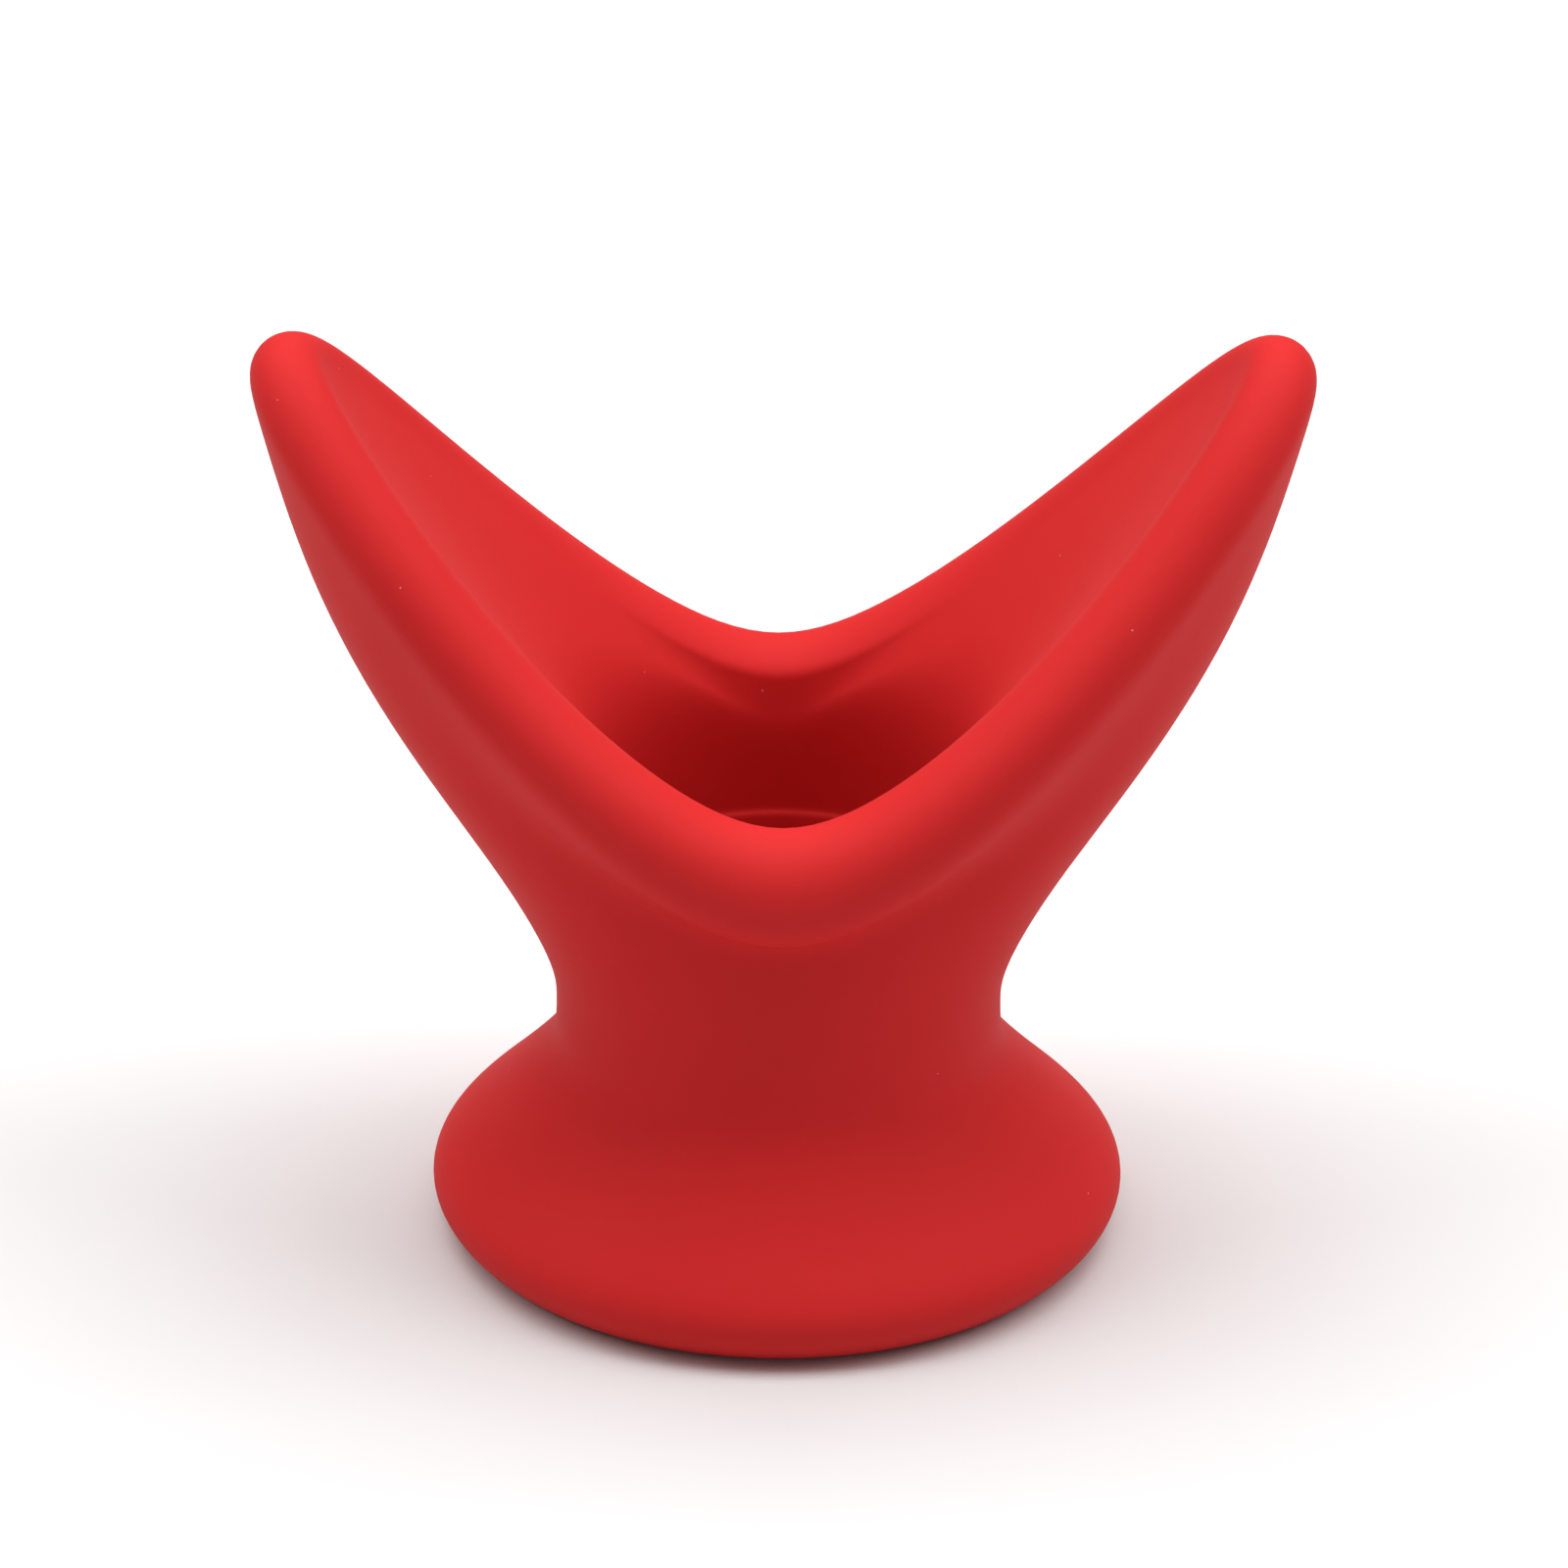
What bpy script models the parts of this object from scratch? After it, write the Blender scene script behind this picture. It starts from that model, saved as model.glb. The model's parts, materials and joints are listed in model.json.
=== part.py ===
"""Soft hollow plug: a round foot, a narrow neck and a mouth that opens in a V between two wings.

The real thing is one silicone moulding, so one skin is shaped first. It is then divided along
its two bending lines into a base and two wings, because squeezing the wings together is how
it moves. Metres, +Z up, origin at the centre of the foot's underside. X runs from wing to
wing and is called side here. Y runs from valley to valley and is called front.
"""

import math

import bmesh
import bpy
from mathutils import Vector

# Foot: the round flange that it stands on, widest at its shoulder.
FOOT_RADIUS = 0.0294
FOOT_EDGE_INSET = 0.0002
FOOT_EDGE_HEIGHT = 0.0026
FOOT_CORNER_INSET = 0.0027
FOOT_SHOULDER_HEIGHT = 0.0056
SKIRT_RADIUS = 0.0250
SKIRT_HEIGHT = 0.0095
FLARE_RADIUS = 0.0213
FLARE_HEIGHT = 0.0132

# Neck: the narrow stretch above the foot, round all the way.
NECK_RADIUS = 0.0186
NECK_FOOT_HEIGHT = 0.0165
NECK_HEIGHT = 0.0196
COLLAR_RADIUS = 0.0185
COLLAR_HEIGHT = 0.0238

# Bore: straight through, a little wider above the neck. Its upper edge is level but for the valleys.
BORE_RADIUS = 0.0146
BORE_EDGE_ROUNDING = 0.0018
TUNNEL_RADIUS = 0.0150
TUNNEL_FLOOR_HEIGHT = 0.0225
TUNNEL_EDGE_HEIGHT = 0.0446
TUNNEL_EDGE_POWER = 0.7
TUNNEL_VALLEY_DROP = 0.0065

# Mouth: a thick lip that dips to a valley in front and behind, and rises to a tip on each side.
VALLEY_HEIGHT = 0.0441
TIP_HEIGHT = 0.0783
TIP_REACH = 0.0426
VALLEY_LIP_RADIUS = 0.0049
TIP_LIP_RADIUS = 0.0030
LIP_RISE_POWER = 1.45
LIP_CHEEK = -0.0016
WING_CHEEK = 0.0036

# Bending lines: one over each valley, in line with each other, just above the lip. The plane that
# parts a wing from the base falls outwards from there and comes out at the collar.
HINGE_ABOVE_VALLEY = 0.0010
GAP = 0.0003

CUTTER_SPAN = 0.4

# The cage: its columns go round the axis, and its rings follow the wall in section.
COLUMNS = 24
SMOOTHING_LEVELS = 1
SILICONE_COLOUR = (0.62, 0.035, 0.03, 1.0)
SILICONE_ROUGHNESS = 0.55

# Where the lip's roll starts outside and ends inside, in degrees: 0 is outwards and 90 is up.
VALLEY_LIP_ANGLES = (-46, 138)
TIP_LIP_ANGLES = (-33, 180)
LIP_STEPS = 5

# Stations up the outside of a wing, as shares of the way out, the way up and the cheek, with
# their shares of the way up the front below the lip, and stations down its face as shares.
WING_BACK_STATIONS = ((0.21, 0.20, 0.25), (0.60, 0.48, 0.70), (0.855, 0.73, 1.00))
FRONT_WALL_STATIONS = (0.36, 0.72, 1.00)
WING_FACE_STATIONS = (0.80, 0.55, 0.27, 0)


def swell(step):
    """How far outside a circle a cage has to stand for its smoothed surface to meet that circle."""
    return 3 / (2 + math.cos(step))


def climb(turn, power):
    """Share of the way up from valley to tip that a column stands, in a form that smoothing keeps.

    A bare power of the cosine would be drawn up in the valleys and down at the tips.
    """
    step = math.tau / COLUMNS

    def bare(angle):
        return abs(math.cos(angle)) ** power

    def smoothed(angle):
        return (bare(angle - step) + 4 * bare(angle) + bare(angle + step)) / 6

    valley = smoothed(math.pi / 2)
    return (bare(turn) - valley) / (smoothed(0) - valley)


class Ring:
    """One ring of the cage: its (out, up) at the wings' side and at the front and back.

    Between the two it rises with the lip, apart from its shelf, the part of its rise that it
    makes near the valleys, as the tunnel's edge does. Its cheek is how far it swells forwards
    and backwards between valley and tip.
    """

    def __init__(self, side, front, shelf=0.0, cheek=0.0):
        self.side = Vector(side)
        self.front = Vector(front)
        self.shelf = shelf
        self.cheek = cheek

    def point(self, turn):
        spread = swell(math.tau / COLUMNS)
        lift = self.side.y - self.front.y - self.shelf
        return Vector((
            self.side.x * spread * math.cos(turn),
            (self.front.x + self.cheek * math.cos(turn) ** 2) * spread * math.sin(turn),
            self.front.y + self.shelf * climb(turn, TUNNEL_EDGE_POWER) + lift * climb(turn, LIP_RISE_POWER)))


def round_rings(*points):
    """Rings that are level circles, from their (radius, height)."""
    return [Ring(point, point) for point in points]


def foot_and_neck():
    """From the bore's lower edge over the underside, round the foot and up the neck."""
    corner = FOOT_RADIUS - FOOT_CORNER_INSET
    underside = [BORE_RADIUS + (corner - BORE_RADIUS) * share for share in (0, 0.2, 0.5, 0.8, 1)]
    return round_rings(
        (BORE_RADIUS, BORE_EDGE_ROUNDING),
        *((radius, 0) for radius in underside),
        (FOOT_RADIUS - FOOT_EDGE_INSET, FOOT_EDGE_HEIGHT),
        (FOOT_RADIUS, FOOT_SHOULDER_HEIGHT),
        (SKIRT_RADIUS, SKIRT_HEIGHT),
        (FLARE_RADIUS, FLARE_HEIGHT),
        (NECK_RADIUS, NECK_FOOT_HEIGHT),
        (NECK_RADIUS, NECK_HEIGHT),
        (COLLAR_RADIUS, COLLAR_HEIGHT))


def lip_roll(centre, radius, angles):
    """Points round a lip, from its outside to its inside."""
    first, last = (math.radians(angle) for angle in angles)
    step = (last - first) / LIP_STEPS
    reach = radius * swell(step)
    turns = [first + step * count for count in range(LIP_STEPS + 1)]
    return [Vector(centre) + Vector((math.cos(turn), math.sin(turn))) * reach for turn in turns]


def mouth():
    """Up the outside of the wings, over the lip, and down their faces to the tunnel's edge."""
    collar = Vector((COLLAR_RADIUS, COLLAR_HEIGHT))
    side_lip = lip_roll(
        (TIP_REACH - TIP_LIP_RADIUS, TIP_HEIGHT - TIP_LIP_RADIUS), TIP_LIP_RADIUS, TIP_LIP_ANGLES)
    front_lip = lip_roll(
        (TUNNEL_RADIUS + VALLEY_LIP_RADIUS, VALLEY_HEIGHT - VALLEY_LIP_RADIUS),
        VALLEY_LIP_RADIUS, VALLEY_LIP_ANGLES)
    under_lip = Vector((COLLAR_RADIUS, VALLEY_HEIGHT - 2 * VALLEY_LIP_RADIUS))
    reach = side_lip[0] - collar
    walls = [
        Ring(collar + Vector((reach.x * out, reach.y * up)), collar.lerp(under_lip, front),
             0.0, cheek * WING_CHEEK)
        for (out, up, cheek), front in zip(WING_BACK_STATIONS, FRONT_WALL_STATIONS)]
    lips = [Ring(side, front, 0.0, LIP_CHEEK) for side, front in zip(side_lip, front_lip)]
    side_edge = Vector((TUNNEL_RADIUS, TUNNEL_EDGE_HEIGHT))
    front_edge = Vector((TUNNEL_RADIUS, VALLEY_HEIGHT - TUNNEL_VALLEY_DROP))
    shelf = side_edge.y - front_edge.y
    faces = [
        Ring(side_edge.lerp(side_lip[-1], up), front_edge.lerp(front_lip[-1], up),
             shelf * (1 - up), LIP_CHEEK * up)
        for up in WING_FACE_STATIONS]
    return walls + lips + faces


def tunnel_and_bore():
    """Down the tunnel from its edge, and on down the slightly narrower bore."""
    fall = VALLEY_HEIGHT - TUNNEL_VALLEY_DROP - TUNNEL_FLOOR_HEIGHT
    return round_rings(
        *((TUNNEL_RADIUS, TUNNEL_FLOOR_HEIGHT + fall * up) for up in (0.76, 0.38, 0)),
        (BORE_RADIUS, NECK_HEIGHT),
        (BORE_RADIUS, NECK_HEIGHT / 2 - BORE_EDGE_ROUNDING))


def silicone():
    material = bpy.data.materials.new("silicone")
    material.use_nodes = True
    shader = material.node_tree.nodes["Principled BSDF"]
    shader.inputs["Base Color"].default_value = SILICONE_COLOUR
    shader.inputs["Roughness"].default_value = SILICONE_ROUGHNESS
    shader.inputs["Metallic"].default_value = 0
    return material


def moulding(collection):
    """The whole skin: a ring of quads set to the rings above, then smoothed."""
    rings = foot_and_neck() + mouth() + tunnel_and_bore()
    bpy.ops.mesh.primitive_torus_add(
        major_segments=COLUMNS, minor_segments=len(rings),
        major_radius=FOOT_RADIUS, minor_radius=NECK_RADIUS / 2)
    skin = bpy.context.object
    skin.name = "moulding"
    for vertex in skin.data.vertices:
        column, ring = divmod(vertex.index, len(rings))
        vertex.co = rings[ring].point(math.tau * column / COLUMNS)
    mesh = bmesh.new()
    mesh.from_mesh(skin.data)
    bmesh.ops.recalc_face_normals(mesh, faces=mesh.faces)
    mesh.to_mesh(skin.data)
    mesh.free()
    smooth = skin.modifiers.new("smooth", "SUBSURF")
    smooth.levels = SMOOTHING_LEVELS
    smooth.render_levels = SMOOTHING_LEVELS
    move_to(skin, collection)
    skin.hide_render = True
    skin.display_type = "WIRE"
    return skin


def move_to(thing, collection):
    for old in list(thing.users_collection):
        old.objects.unlink(thing)
    collection.objects.link(thing)


def block(name, middle, turn, collection):
    """A cube far larger than the plug, turned about Y, that cuts with the middle of one face."""
    bpy.ops.mesh.primitive_cube_add(size=CUTTER_SPAN, location=middle, rotation=(0, turn, 0))
    cube = bpy.context.object
    cube.name = name
    cube.display_type = "WIRE"
    cube.hide_render = True
    move_to(cube, collection)
    return cube


def half_cutter(name, hand, collection):
    """All that lies on one side of the plane through both valleys."""
    return block(name, Vector((hand * CUTTER_SPAN / 2, 0, 0)), 0, collection)


def bend_cutter(name, hand, offset, collection):
    """All that lies above one bending plane, which is moved by offset across itself.

    The plane starts at the hinge line and falls outwards on the side that hand gives.
    """
    hinge = Vector((0, 0, VALLEY_HEIGHT + HINGE_ABOVE_VALLEY))
    slope = math.atan2(COLLAR_RADIUS, hinge.z - COLLAR_HEIGHT)
    lift = Vector((hand * math.cos(slope), 0, math.sin(slope)))
    middle = hinge + lift * (CUTTER_SPAN / 2 + offset)
    return block(name, middle, hand * (math.pi / 2 - slope), collection)


def cut(piece, cutter, operation):
    change = piece.modifiers.new(operation.lower() + " " + cutter.name, "BOOLEAN")
    change.object = cutter
    change.operation = operation
    change.solver = "EXACT"


def piece_of(skin, name, material, collection):
    piece = skin.copy()
    piece.data = skin.data.copy()
    piece.name = name
    piece.hide_render = False
    piece.display_type = "TEXTURED"
    piece.data.materials.append(material)
    piece.data.shade_smooth()
    collection.objects.link(piece)
    return piece


def build():
    for old in list(bpy.data.objects):
        bpy.data.objects.remove(old)
    parts = bpy.data.collections.new("v_mouth_plug")
    cutters = bpy.data.collections.new("cutters")
    bpy.context.scene.collection.children.link(parts)
    bpy.context.scene.collection.children.link(cutters)
    skin = moulding(cutters)
    material = silicone()
    base = piece_of(skin, "base", material, parts)
    for name, hand in (("left_wing", -1), ("right_wing", 1)):
        wing = piece_of(skin, name, material, parts)
        cut(wing, half_cutter(name + "_half", hand, cutters), "INTERSECT")
        cut(wing, bend_cutter(name + "_bend", hand, GAP / 2, cutters), "INTERSECT")
        cut(base, bend_cutter(name + "_clearance", hand, -GAP / 2, cutters), "DIFFERENCE")


build()
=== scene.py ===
import json
import math

import bmesh
import bpy
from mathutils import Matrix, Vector


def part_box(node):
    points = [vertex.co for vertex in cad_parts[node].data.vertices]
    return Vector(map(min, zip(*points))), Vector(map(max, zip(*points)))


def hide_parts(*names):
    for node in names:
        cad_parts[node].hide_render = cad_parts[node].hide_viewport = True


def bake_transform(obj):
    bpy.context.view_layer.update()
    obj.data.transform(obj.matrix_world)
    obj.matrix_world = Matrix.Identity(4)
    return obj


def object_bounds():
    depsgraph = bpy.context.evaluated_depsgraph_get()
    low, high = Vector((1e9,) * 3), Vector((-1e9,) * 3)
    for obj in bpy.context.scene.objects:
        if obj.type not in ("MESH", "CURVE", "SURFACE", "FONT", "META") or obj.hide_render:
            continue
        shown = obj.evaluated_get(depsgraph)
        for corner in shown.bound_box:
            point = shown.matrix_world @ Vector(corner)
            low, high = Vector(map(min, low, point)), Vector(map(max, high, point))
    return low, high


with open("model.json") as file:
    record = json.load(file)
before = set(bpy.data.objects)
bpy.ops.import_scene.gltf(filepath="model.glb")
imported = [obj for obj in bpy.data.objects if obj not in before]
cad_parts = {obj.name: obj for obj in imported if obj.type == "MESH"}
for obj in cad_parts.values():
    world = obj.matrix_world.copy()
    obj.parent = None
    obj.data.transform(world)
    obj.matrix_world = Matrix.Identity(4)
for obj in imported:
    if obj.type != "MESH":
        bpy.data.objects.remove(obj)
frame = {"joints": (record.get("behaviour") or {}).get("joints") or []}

cad_low, cad_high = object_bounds()

# ---------------------------------------------------------------------------------------------
# Studio. The plug stands on a plain pale table under one wide soft light a little behind it, with
# a weaker soft light high on each side and nothing in front, so its front is lit mostly by the
# table. The camera looks down on it from a little above, as someone seated at the table would.

VIEW_ELEVATION = math.radians(24.5)
VIEW_YAW = math.radians(-0.8)
VIEW_ROLL = math.radians(0.5)
VIEW_DISTANCE = 0.48
VIEW_LENS = 133.8
AIM_HEIGHT = 0.0394
AIM_SIDE = 0.0003


def aim_camera():
    back = Vector((
        math.sin(VIEW_YAW) * math.cos(VIEW_ELEVATION),
        -math.cos(VIEW_YAW) * math.cos(VIEW_ELEVATION),
        math.sin(VIEW_ELEVATION)))
    aim = Vector((AIM_SIDE, 0, AIM_HEIGHT))
    bpy.ops.object.camera_add(location=aim + back * VIEW_DISTANCE)
    camera = bpy.context.object
    camera.name = "camera"
    camera.data.lens = VIEW_LENS
    camera.data.clip_start = VIEW_DISTANCE / 100
    camera.rotation_mode = "QUATERNION"
    camera.rotation_quaternion = (-back).to_track_quat("-Z", "Y")
    camera.rotation_mode = "XYZ"
    camera.rotation_euler.rotate_axis("Z", VIEW_ROLL)
    bpy.context.scene.camera = camera


def soft_light(name, place, target, width, height, watts):
    bpy.ops.object.light_add(type="AREA", location=place)
    light = bpy.context.object
    light.name = name
    light.data.shape = "RECTANGLE"
    light.data.size = width
    light.data.size_y = height
    light.data.energy = watts
    light.rotation_mode = "QUATERNION"
    light.rotation_quaternion = (Vector(target) - Vector(place)).to_track_quat("-Z", "Y")


def plain_paint(name, colour, roughness):
    paint = bpy.data.materials.new(name)
    paint.use_nodes = True
    shader = paint.node_tree.nodes["Principled BSDF"]
    shader.inputs["Base Color"].default_value = colour
    shader.inputs["Roughness"].default_value = roughness
    shader.inputs["Specular IOR Level"].default_value = 0.2
    return paint


def set_table():
    bpy.ops.mesh.primitive_plane_add(size=8)
    table = bpy.context.object
    table.name = "table_top"
    table.data.materials.append(plain_paint("white_table", (0.72, 0.72, 0.72, 1), 0.8))


aim_camera()
set_table()
soft_light("overhead_light", (0.0, 0.20, 1.1), (0, 0, 0), 1.3, 1.3, 17)
soft_light("right_light", (0.7, -0.1, 0.75), (0, 0, 0.03), 0.6, 0.6, 3.6)
soft_light("left_light", (-0.7, -0.1, 0.75), (0, 0, 0.03), 0.6, 0.6, 2.8)
bpy.context.scene.world = bpy.data.worlds.new("dim_room")
bpy.context.scene.world.use_nodes = True
bpy.context.scene.world.node_tree.nodes["Background"].inputs["Color"].default_value = (1, 1, 1, 1)
bpy.context.scene.world.node_tree.nodes["Background"].inputs["Strength"].default_value = 0.22
bpy.context.scene.view_settings.view_transform = "Standard"
bpy.context.scene.view_settings.gamma = 1.0

# ---------------------------------------------------------------------------------------------
# Casting. The whole plug is one casting of soft red silicone, made in a closed mould round a
# core that leaves the bore. It has no seams: the wall runs from the bore's lower edge under the
# foot, up the neck, out over the lip, and back down the tunnel.

COLUMNS = 24
SMOOTHING_LEVELS = 3

# The foot and the neck, as radii with heights.
FOOT_CORNER_INSET = 0.0025
FOOT_EDGE_HEIGHT = 0.0026
FOOT_SHOULDER_BULGE = 0.0002
FOOT_SHOULDER_HEIGHT = 0.0056
SKIRT = (0.0250, 0.0095)
FLARE = (0.0213, 0.0132)
NECK_RADIUS = 0.0186
NECK_FOOT_HEIGHT = 0.0165
NECK_HEIGHT = 0.0196
COLLAR_RADIUS = 0.0185
COLLAR_HEIGHT = 0.0238

# The bore, and the tunnel above it, whose edge dips in the valleys.
BORE_RADIUS = 0.0146
BORE_EDGE_ROUNDING = 0.0018
BORE_MIDDLE_HEIGHT = 0.0075
TUNNEL_RADIUS = 0.0150
TUNNEL_EDGE_HEIGHT = 0.0446
TUNNEL_EDGE_POWER = 0.7
TUNNEL_VALLEY_DROP = 0.0065
TUNNEL_TOP_HEIGHT = 0.0340
LEDGE_HEIGHT = 0.0300
LEDGE_WIDTH = 0.0004
LEDGE_EDGES = (0.0008, 0.0001)
LEDGE_FOOT = 0.0010

# The lip, from its outside to its inside in degrees, where 0 is outwards and 90 is up.
HINGE_ABOVE_VALLEY = 0.0010
VALLEY_LIP_RADIUS = 0.0049
VALLEY_LIP_ANGLES = (-46, 138)
TIP_LIP_RADIUS = 0.0030
TIP_LIP_ANGLES = (-33, 180)
LIP_STEPS = 5
LIP_RISE_POWER = 1.45
LIP_CHEEK = -0.0016

# Stations up the back of a wing, with their shares of the way up the front and of the cheek,
# and stations down a wing's face, as shares of the way up it.
WING_BACK = ((0.0235, 0.0337), (0.0329, 0.0476), (0.0389, 0.0600))
FRONT_WALL_SHARES = (0.36, 0.72, 1)
WING_CHEEK = 0.0036
WING_CHEEK_SHARES = (0.25, 0.7, 1)
WING_FACE_SHARES = (0.80, 0.55, 0.27, 0)

hinge = Vector(frame["joints"][0]["pos_m"])
foot_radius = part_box("base")[1][0]
tip_height = cad_high[2]
tip_reach = cad_high[0]
valley_height = hinge.z - HINGE_ABOVE_VALLEY


def swell(step):
    """How far outside a circle a cage has to stand for its smoothed surface to meet that circle."""
    return 3 / (2 + math.cos(step))


def climb(turn, power):
    """Share of the way up from valley to tip that a column stands, in a form that smoothing keeps."""
    step = math.tau / COLUMNS

    def bare(angle):
        return abs(math.cos(angle)) ** power

    def smoothed(angle):
        return (bare(angle - step) + 4 * bare(angle) + bare(angle + step)) / 6

    valley = smoothed(math.pi / 2)
    return (bare(turn) - valley) / (smoothed(0) - valley)


class Ring:
    """One ring of the cage: its (out, up) at the wings' side and in the valleys in front and behind.

    Between the two it rises with the lip, apart from its shelf, the part of its rise that it
    makes near the valleys, as the level edge of the tunnel does. Its cheek is how far it swells
    forwards and backwards between valley and tip.
    """

    def __init__(self, side, front, shelf=0.0, cheek=0.0):
        self.side = Vector(side)
        self.front = Vector(front)
        self.shelf = shelf
        self.cheek = cheek

    def point(self, share):
        """Where the ring passes, in the first quadrant, at a column whose turn has this cosine."""
        turn = math.acos(share)
        spread = swell(math.tau / COLUMNS)
        along_shelf = self.shelf * climb(turn, TUNNEL_EDGE_POWER)
        along_lip = (self.side.y - self.front.y - self.shelf) * climb(turn, LIP_RISE_POWER)
        return Vector((
            self.side.x * spread * share,
            (self.front.x + self.cheek * share ** 2) * spread * math.sin(turn),
            self.front.y + along_shelf + along_lip))


def round_rings(*points):
    """Rings that are level circles, from their (radius, height)."""
    return [Ring(point, point) for point in points]


def foot_and_neck():
    """Out across the underside from the bore, round the foot's edge and up to the collar."""
    corner = foot_radius - FOOT_CORNER_INSET
    underside = [BORE_RADIUS + (corner - BORE_RADIUS) * share for share in (0, 0.2, 0.5, 0.8, 1)]
    return round_rings(
        (BORE_RADIUS, BORE_EDGE_ROUNDING),
        *((radius, 0) for radius in underside),
        (foot_radius, FOOT_EDGE_HEIGHT),
        (foot_radius + FOOT_SHOULDER_BULGE, FOOT_SHOULDER_HEIGHT),
        SKIRT,
        FLARE,
        (NECK_RADIUS, NECK_FOOT_HEIGHT),
        (NECK_RADIUS, NECK_HEIGHT),
        (COLLAR_RADIUS, COLLAR_HEIGHT))


def lip_roll(centre, radius, angles):
    """Points round a lip, from its outside at the first of the two angles to its inside."""
    first, last = angles
    turns = [math.radians(first + (last - first) * step / LIP_STEPS) for step in range(LIP_STEPS + 1)]
    reach = radius * swell(turns[1] - turns[0])
    return [Vector(centre) + Vector((math.cos(turn), math.sin(turn))) * reach for turn in turns]


def mouth():
    """Up the outside of the wings, over the lip, and down their faces to the tunnel's edge."""
    side_lip = lip_roll(
        (tip_reach - TIP_LIP_RADIUS, tip_height - TIP_LIP_RADIUS), TIP_LIP_RADIUS, TIP_LIP_ANGLES)
    front_lip = lip_roll(
        (TUNNEL_RADIUS + VALLEY_LIP_RADIUS, valley_height - VALLEY_LIP_RADIUS),
        VALLEY_LIP_RADIUS, VALLEY_LIP_ANGLES)
    web = valley_height - 2 * VALLEY_LIP_RADIUS - COLLAR_HEIGHT
    walls = [
        Ring(side, (COLLAR_RADIUS, COLLAR_HEIGHT + web * up), cheek=cheek * WING_CHEEK)
        for side, up, cheek in zip(WING_BACK, FRONT_WALL_SHARES, WING_CHEEK_SHARES)]
    lips = [Ring(side, front, cheek=LIP_CHEEK) for side, front in zip(side_lip, front_lip)]
    edge_side = Vector((TUNNEL_RADIUS, TUNNEL_EDGE_HEIGHT))
    edge_front = Vector((TUNNEL_RADIUS, valley_height - TUNNEL_VALLEY_DROP))
    shelf = edge_side.y - edge_front.y
    faces = [
        Ring(edge_side.lerp(side_lip[-1], up), edge_front.lerp(front_lip[-1], up),
             shelf * (1 - up), LIP_CHEEK * up)
        for up in WING_FACE_SHARES]
    return walls + lips + faces


def tunnel():
    """Down the tunnel to a fine ledge that the core leaves, and on down the bore."""
    return round_rings(
        (TUNNEL_RADIUS, TUNNEL_TOP_HEIGHT),
        *((TUNNEL_RADIUS, LEDGE_HEIGHT + above) for above in LEDGE_EDGES),
        (TUNNEL_RADIUS - LEDGE_WIDTH, LEDGE_HEIGHT),
        (TUNNEL_RADIUS - LEDGE_WIDTH, LEDGE_HEIGHT - LEDGE_FOOT),
        (BORE_RADIUS, NECK_HEIGHT),
        (BORE_RADIUS, BORE_MIDDLE_HEIGHT))


def select_only(chosen):
    """Selects these vertices of the mesh being edited, by index, and nothing else."""
    bpy.ops.mesh.select_all(action="DESELECT")
    mesh = bmesh.from_edit_mesh(bpy.context.edit_object.data)
    mesh.verts.ensure_lookup_table()
    for index in chosen:
        mesh.verts[index].select_set(True)
    mesh.select_flush_mode()


def columns_of(ring):
    """The selected open rim's vertices, in groups that mirror each other, by their turn's cosine."""
    mesh = bmesh.from_edit_mesh(bpy.context.edit_object.data)
    reach = ring.point(1).x
    groups = {}
    for vertex in mesh.verts:
        if vertex.select:
            groups.setdefault(round(abs(vertex.co.x) / reach, 3), []).append(vertex.index)
    return groups


def extrude_to(ring, last):
    """Extrudes the open rim from the ring last to the next one, and shapes it column by column."""
    bpy.ops.mesh.extrude_region_move()
    groups = columns_of(last)
    for share, group in groups.items():
        here = last.point(share)
        there = ring.point(share)
        stretch = [there[axis] / here[axis] if here[axis] > 1e-6 else 1 for axis in (0, 1)]
        select_only(group)
        bpy.ops.transform.resize(value=(*stretch, 1), center_override=(0, 0, 0))
        bpy.ops.transform.translate(value=(0, 0, there.z - here.z))
    select_only([index for group in groups.values() for index in group])


def cast_plug():
    rings = foot_and_neck() + mouth() + tunnel()
    start = rings[0].point(1)
    bpy.ops.object.select_all(action="DESELECT")
    bpy.ops.mesh.primitive_circle_add(
        vertices=COLUMNS, radius=start.x, fill_type="NOTHING", location=(0, 0, start.z))
    plug = bpy.context.object
    plug.name = "casting"
    bpy.ops.object.transform_apply(location=True, rotation=True, scale=True)
    bpy.ops.object.mode_set(mode="EDIT")
    bpy.context.tool_settings.mesh_select_mode = (True, False, False)
    bpy.ops.mesh.select_all(action="SELECT")
    for last, ring in zip(rings, rings[1:]):
        extrude_to(ring, last)
    bpy.ops.mesh.select_all(action="DESELECT")
    bpy.ops.mesh.select_non_manifold()
    bpy.ops.mesh.bridge_edge_loops()
    bpy.ops.mesh.select_all(action="SELECT")
    bpy.ops.mesh.normals_make_consistent(inside=False)
    bpy.ops.object.mode_set(mode="OBJECT")
    smooth = plug.modifiers.new("smooth", "SUBSURF")
    smooth.levels = SMOOTHING_LEVELS
    smooth.render_levels = SMOOTHING_LEVELS
    bpy.ops.object.modifier_apply(modifier="smooth")
    bpy.ops.object.shade_smooth()
    return plug


casting = cast_plug()

# ---------------------------------------------------------------------------------------------
# Silicone. Pigmented all through and left as it comes from a blasted mould: matt, with a
# velvety bloom where it turns away, a very fine grain, slightly uneven pigment, and the odd
# speck of pale dust, which soft silicone always picks up.


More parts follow.
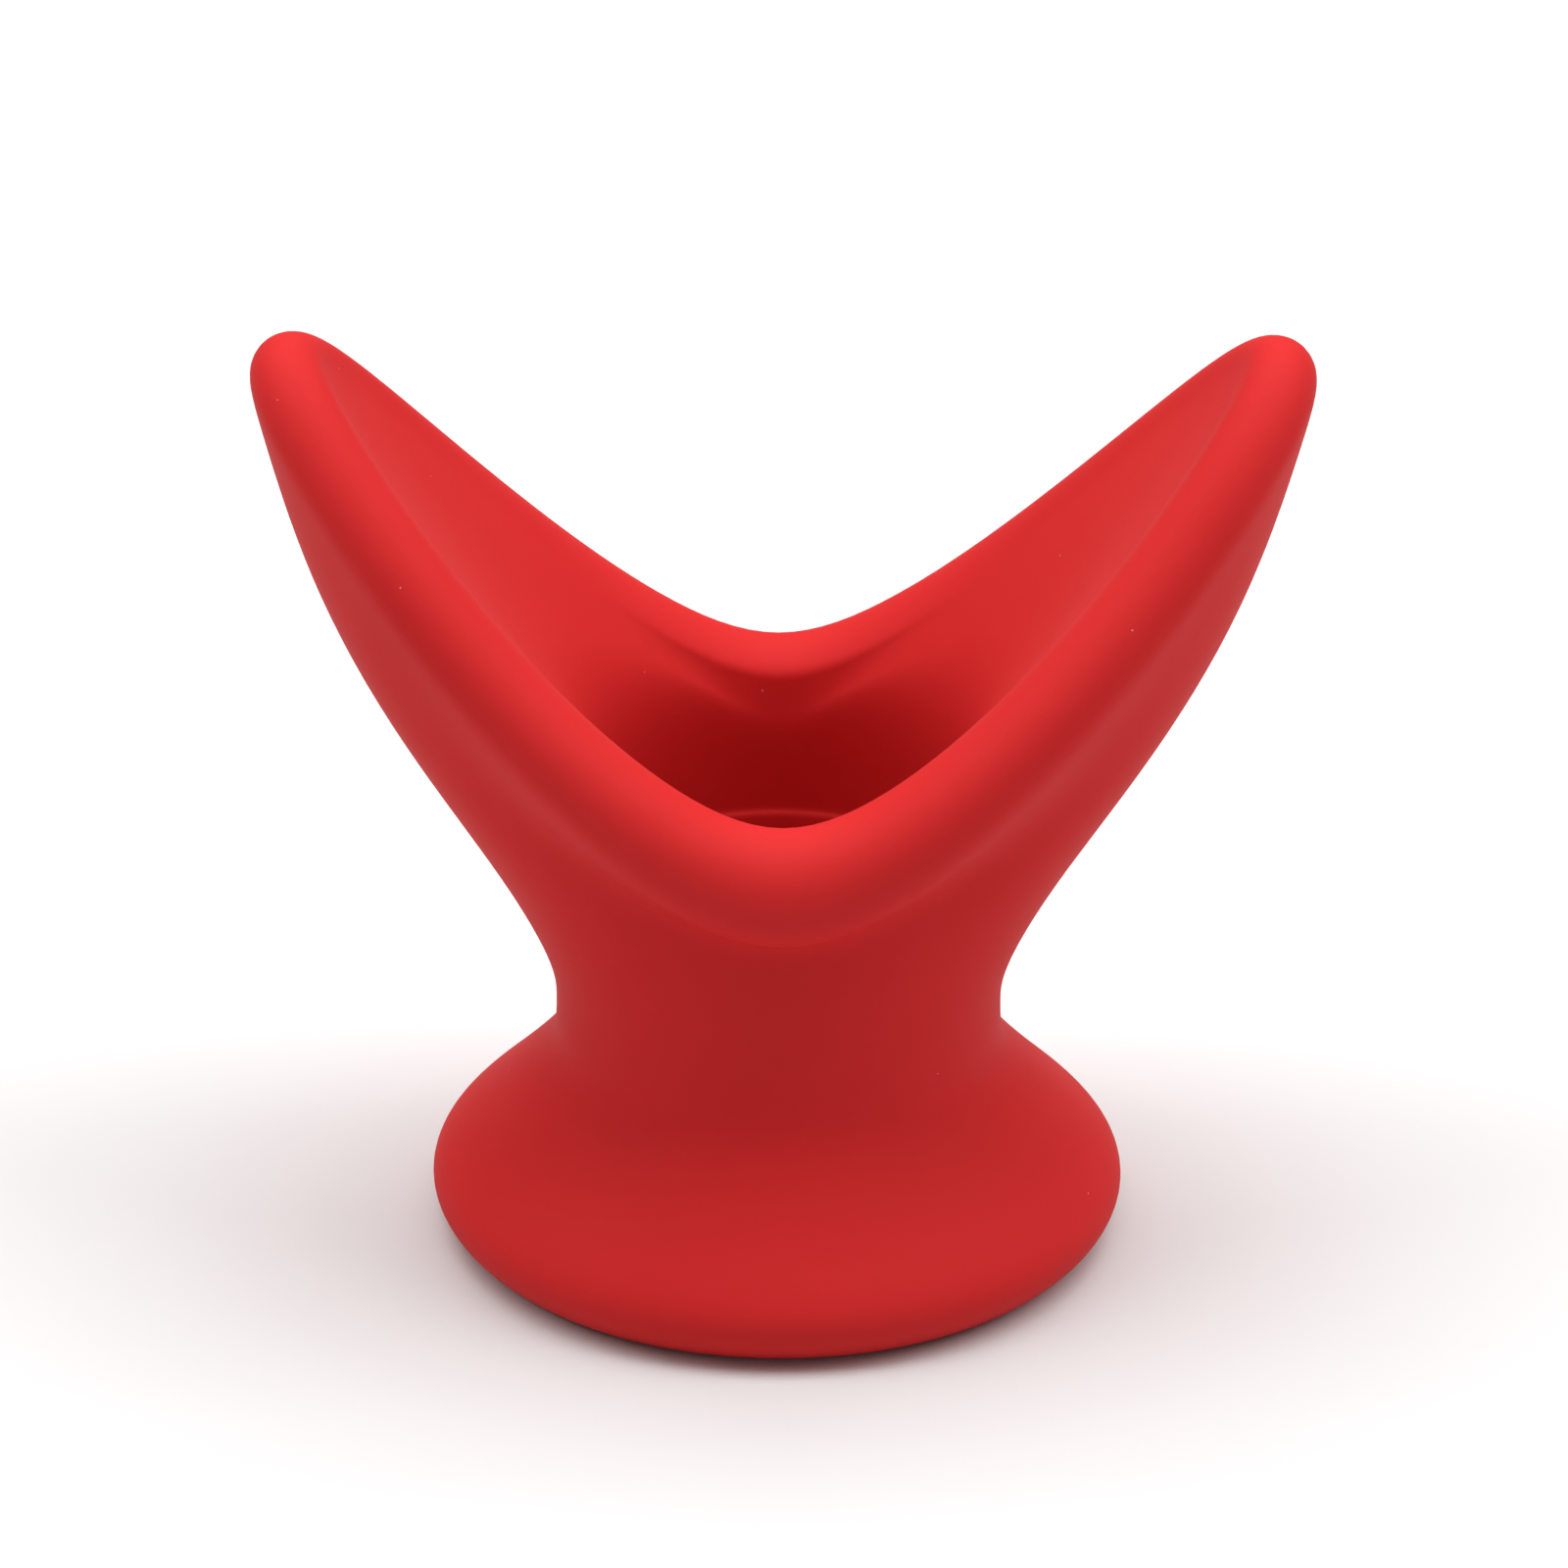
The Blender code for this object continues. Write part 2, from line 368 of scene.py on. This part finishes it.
class Signal:
    """A socket that can stand in a sum."""

    def __init__(self, recipe, socket):
        self.recipe = recipe
        self.socket = socket

    def math(self, operation, left, right):
        return self.recipe.node("ShaderNodeMath", {"operation": operation}, {0: left, 1: right})

    def __add__(self, other):
        return self.math("ADD", self, other)

    def __radd__(self, other):
        return self.math("ADD", other, self)

    def __mul__(self, other):
        return self.math("MULTIPLY", self, other)

    def __rmul__(self, other):
        return self.math("MULTIPLY", other, self)

    def __lt__(self, other):
        return self.math("LESS_THAN", self, other)


class Recipe:
    """One material's nodes."""

    def __init__(self, name):
        self.material = bpy.data.materials.new(name)
        self.material.use_nodes = True
        self.tree = self.material.node_tree
        self.shader = self.tree.nodes["Principled BSDF"]

    def node(self, kind, settings=None, sockets=None, output=0):
        made = self.tree.nodes.new(kind)
        for setting, value in (settings or {}).items():
            setattr(made, setting, value)
        for socket, value in (sockets or {}).items():
            self.feed(made.inputs[socket], value)
        return Signal(self, made.outputs[output])

    def feed(self, socket, value):
        if isinstance(value, Signal):
            self.tree.links.new(value.socket, socket)
        else:
            socket.default_value = value


DEEP_RED = (0.55, 0.016, 0.017, 1)
LIGHT_RED = (0.61, 0.022, 0.022, 1)
DUST_COLOUR = (0.8, 0.5, 0.45, 1)
DUST_COVER = 0.4
DUST_SPACING = 700
DUST_RADIUS = 0.06
DUST_SHARE = 0.05
CLOUD_SCALE = 38
GRAIN_SCALE = 5200
RIPPLE_SCALE = 420


def silicone():
    recipe = Recipe("silicone")
    place = recipe.node("ShaderNodeTexCoord", output="Object")
    cloud = recipe.node("ShaderNodeTexNoise", {}, {"Vector": place, "Scale": CLOUD_SCALE, "Detail": 3})
    grain = recipe.node("ShaderNodeTexNoise", {}, {"Vector": place, "Scale": GRAIN_SCALE, "Detail": 2})
    ripple = recipe.node("ShaderNodeTexNoise", {}, {"Vector": place, "Scale": RIPPLE_SCALE, "Detail": 2})
    pigment = recipe.node(
        "ShaderNodeMix", {"data_type": "RGBA"}, {0: cloud, 6: DEEP_RED, 7: LIGHT_RED}, output=2)
    specks = {"Vector": place, "Scale": DUST_SPACING}
    distance = recipe.node("ShaderNodeTexVoronoi", {}, specks)
    cell = recipe.node("ShaderNodeTexVoronoi", {}, specks, output=1)
    lot = recipe.node("ShaderNodeSeparateColor", {}, {"Color": cell})
    dust = (distance < DUST_RADIUS) * (lot < DUST_SHARE)
    dusty = recipe.node(
        "ShaderNodeMix", {"data_type": "RGBA"},
        {0: DUST_COVER * dust, 6: pigment, 7: DUST_COLOUR}, output=2)
    recipe.feed(recipe.shader.inputs["Base Color"], dusty)
    recipe.feed(recipe.shader.inputs["Roughness"], 0.62 + 0.10 * grain)
    height = grain * 0.6 + ripple
    bump = recipe.node(
        "ShaderNodeBump", {}, {"Strength": 0.12, "Distance": 0.00006, "Height": height})
    recipe.feed(recipe.shader.inputs["Normal"], bump)
    recipe.shader.inputs["Specular IOR Level"].default_value = 0.10
    recipe.shader.inputs["Sheen Weight"].default_value = 0.012
    recipe.shader.inputs["Sheen Roughness"].default_value = 0.45
    recipe.shader.inputs["Sheen Tint"].default_value = (1.0, 0.45, 0.4, 1)
    return recipe.material


casting.data.materials.append(silicone())

# ---------------------------------------------------------------------------------------------
# Bending. The casting bends as one piece when finger and thumb squeeze the wings together. It
# is parted down its middle plane, where nothing moves, into two halves that share their edge
# there and keep the whole casting's smooth shading; the parts that they stand in for are hidden.


def half_of(whole, name, hand):
    bpy.ops.object.select_all(action="DESELECT")
    whole.select_set(True)
    bpy.context.view_layer.objects.active = whole
    bpy.ops.object.duplicate()
    half = bpy.context.object
    half.name = name
    bpy.ops.object.mode_set(mode="EDIT")
    bpy.ops.mesh.select_all(action="SELECT")
    bpy.ops.mesh.bisect(
        plane_co=(0, 0, 0), plane_no=(-hand, 0, 0), clear_outer=True, use_fill=True,
        threshold=0.000001)
    bpy.ops.object.mode_set(mode="OBJECT")
    shading = half.modifiers.new("shading", "DATA_TRANSFER")
    shading.object = whole
    shading.use_loop_data = True
    shading.data_types_loops = {"CUSTOM_NORMAL"}
    shading.loop_mapping = "POLYINTERP_NEAREST"
    bpy.ops.object.modifier_apply(modifier="shading")
    return half


for name, wing, hand in (("left_half", "left_wing", -1), ("right_half", "right_wing", 1)):
    half = half_of(casting, name, hand)
    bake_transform(half)
    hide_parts(wing, *(["base"] if hand < 0 else []))
bpy.data.objects.remove(casting)
